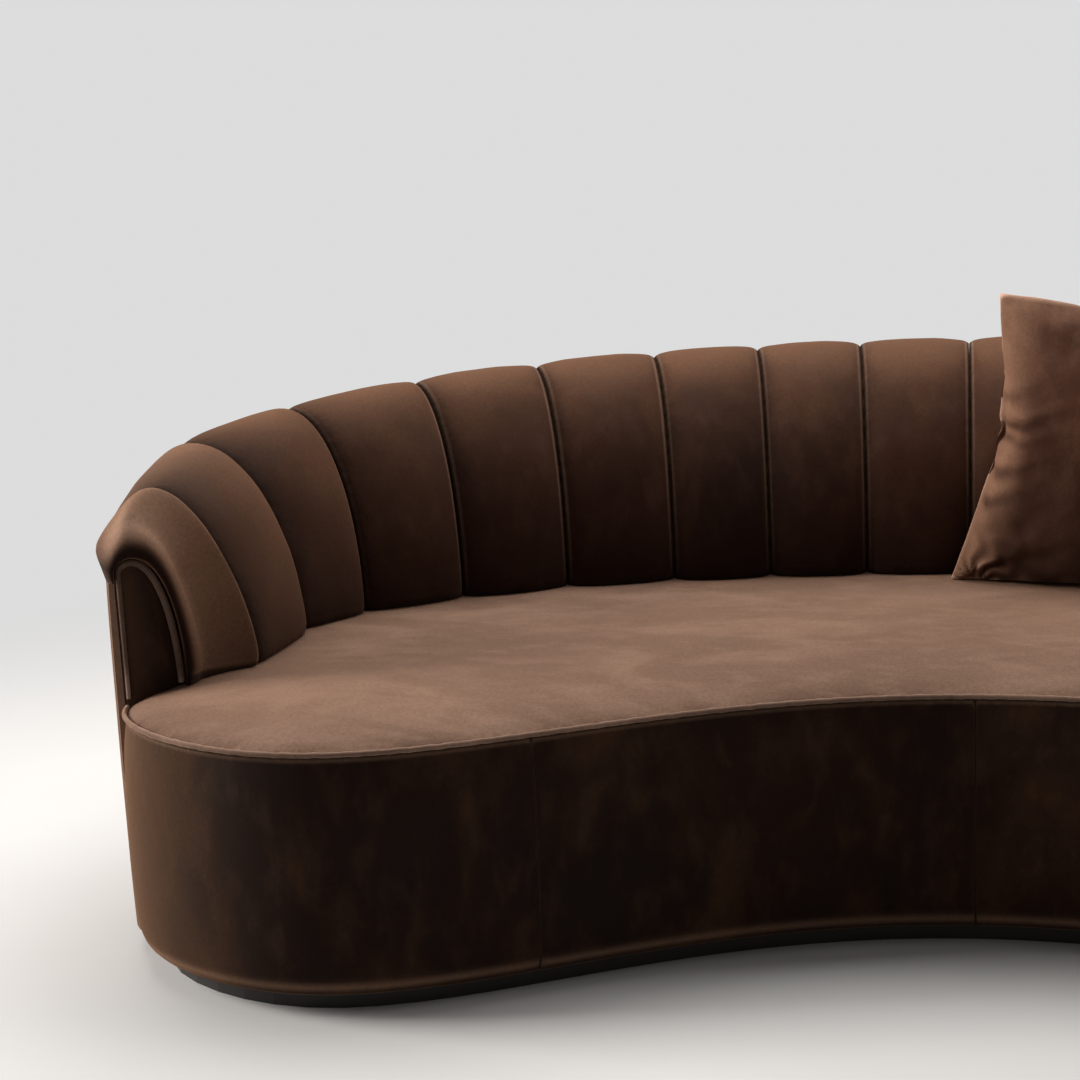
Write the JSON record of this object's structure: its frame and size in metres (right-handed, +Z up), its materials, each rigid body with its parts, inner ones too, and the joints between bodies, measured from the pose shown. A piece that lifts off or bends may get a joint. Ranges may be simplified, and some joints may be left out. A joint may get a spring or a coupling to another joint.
{
  "type": "curved sofa",
  "caption": "Curved channel-backed velvet sofa on a recessed plinth, with a loose throw pillow.",
  "frame": {"origin": "on the floor, at the middle of the whole width and depth", "axes": "+X to the sitter's left when seated, which is the right of the picture, +Y towards the back, +Z up"},
  "size_m": [2.7672, 1.343, 0.9548],
  "materials": {
    "velvet": "brown cotton velvet",
    "pillow_velvet": "lighter brown velvet",
    "plywood": "bare birch plywood",
    "plinth_black": "black stained wood",
    "foam": "seat foam",
    "webbing": "woven elastic strap",
    "dust_cloth": "thin felted cloth"
  },
  "bodies": {
    "sofa": {"channel_left_1": "velvet", "channel_left_2": "velvet", "channel_left_3": "velvet", "channel_left_4": "velvet", "channel_left_5": "velvet", "channel_left_6": "velvet", "channel_left_7": "velvet", "channel_left_8": "velvet", "channel_left_9": "velvet", "channel_right_1": "velvet", "channel_right_2": "velvet", "channel_right_3": "velvet", "channel_right_4": "velvet", "channel_right_5": "velvet", "channel_right_6": "velvet", "channel_right_7": "velvet", "channel_right_8": "velvet", "channel_right_9": "velvet", "border_left": "velvet", "border_middle_left": "velvet", "border_middle_right": "velvet", "border_right": "velvet", "outside_back_left": "velvet", "outside_back_middle": "velvet", "outside_back_right": "velvet", "arm_front_left": "velvet", "arm_front_right": "velvet", "seat_piping": "velvet", "arm_piping_left": "velvet", "arm_piping_right": "velvet", "seat_cushion": "velvet", "bottom_rail_front": "plywood", "bottom_rail_back": "plywood", "seat_rail_front": "plywood", "seat_rail_back": "plywood", "front_board_left": "plywood", "front_board_right": "plywood", "seat_bearer_outer_left": "plywood", "seat_bearer_outer_right": "plywood", "seat_bearer_inner_left": "plywood", "seat_bearer_inner_right": "plywood", "back_board_left": "plywood", "back_board_right": "plywood", "top_rail_left": "plywood", "top_rail_right": "plywood", "back_rib_left_1": "plywood", "back_rib_left_2": "plywood", "back_rib_left_3": "plywood", "back_rib_right_1": "plywood", "back_rib_right_2": "plywood", "back_rib_right_3": "plywood", "plinth_front": "plinth_black", "plinth_back": "plinth_black", "middle_foot_left": "plinth_black", "middle_foot_right": "plinth_black", "seat_webbing": "webbing", "seat_foam": "foam", "dust_cover": "dust_cloth"},
    "throw_pillow": {"throw_pillow": "pillow_velvet"}
  },
  "joints": [
    {"name": "pillow_lift", "type": "slide", "parent": "sofa", "child": "throw_pillow", "axis": [0, 0, 1], "range_m": [0, 0.5]}
  ]
}
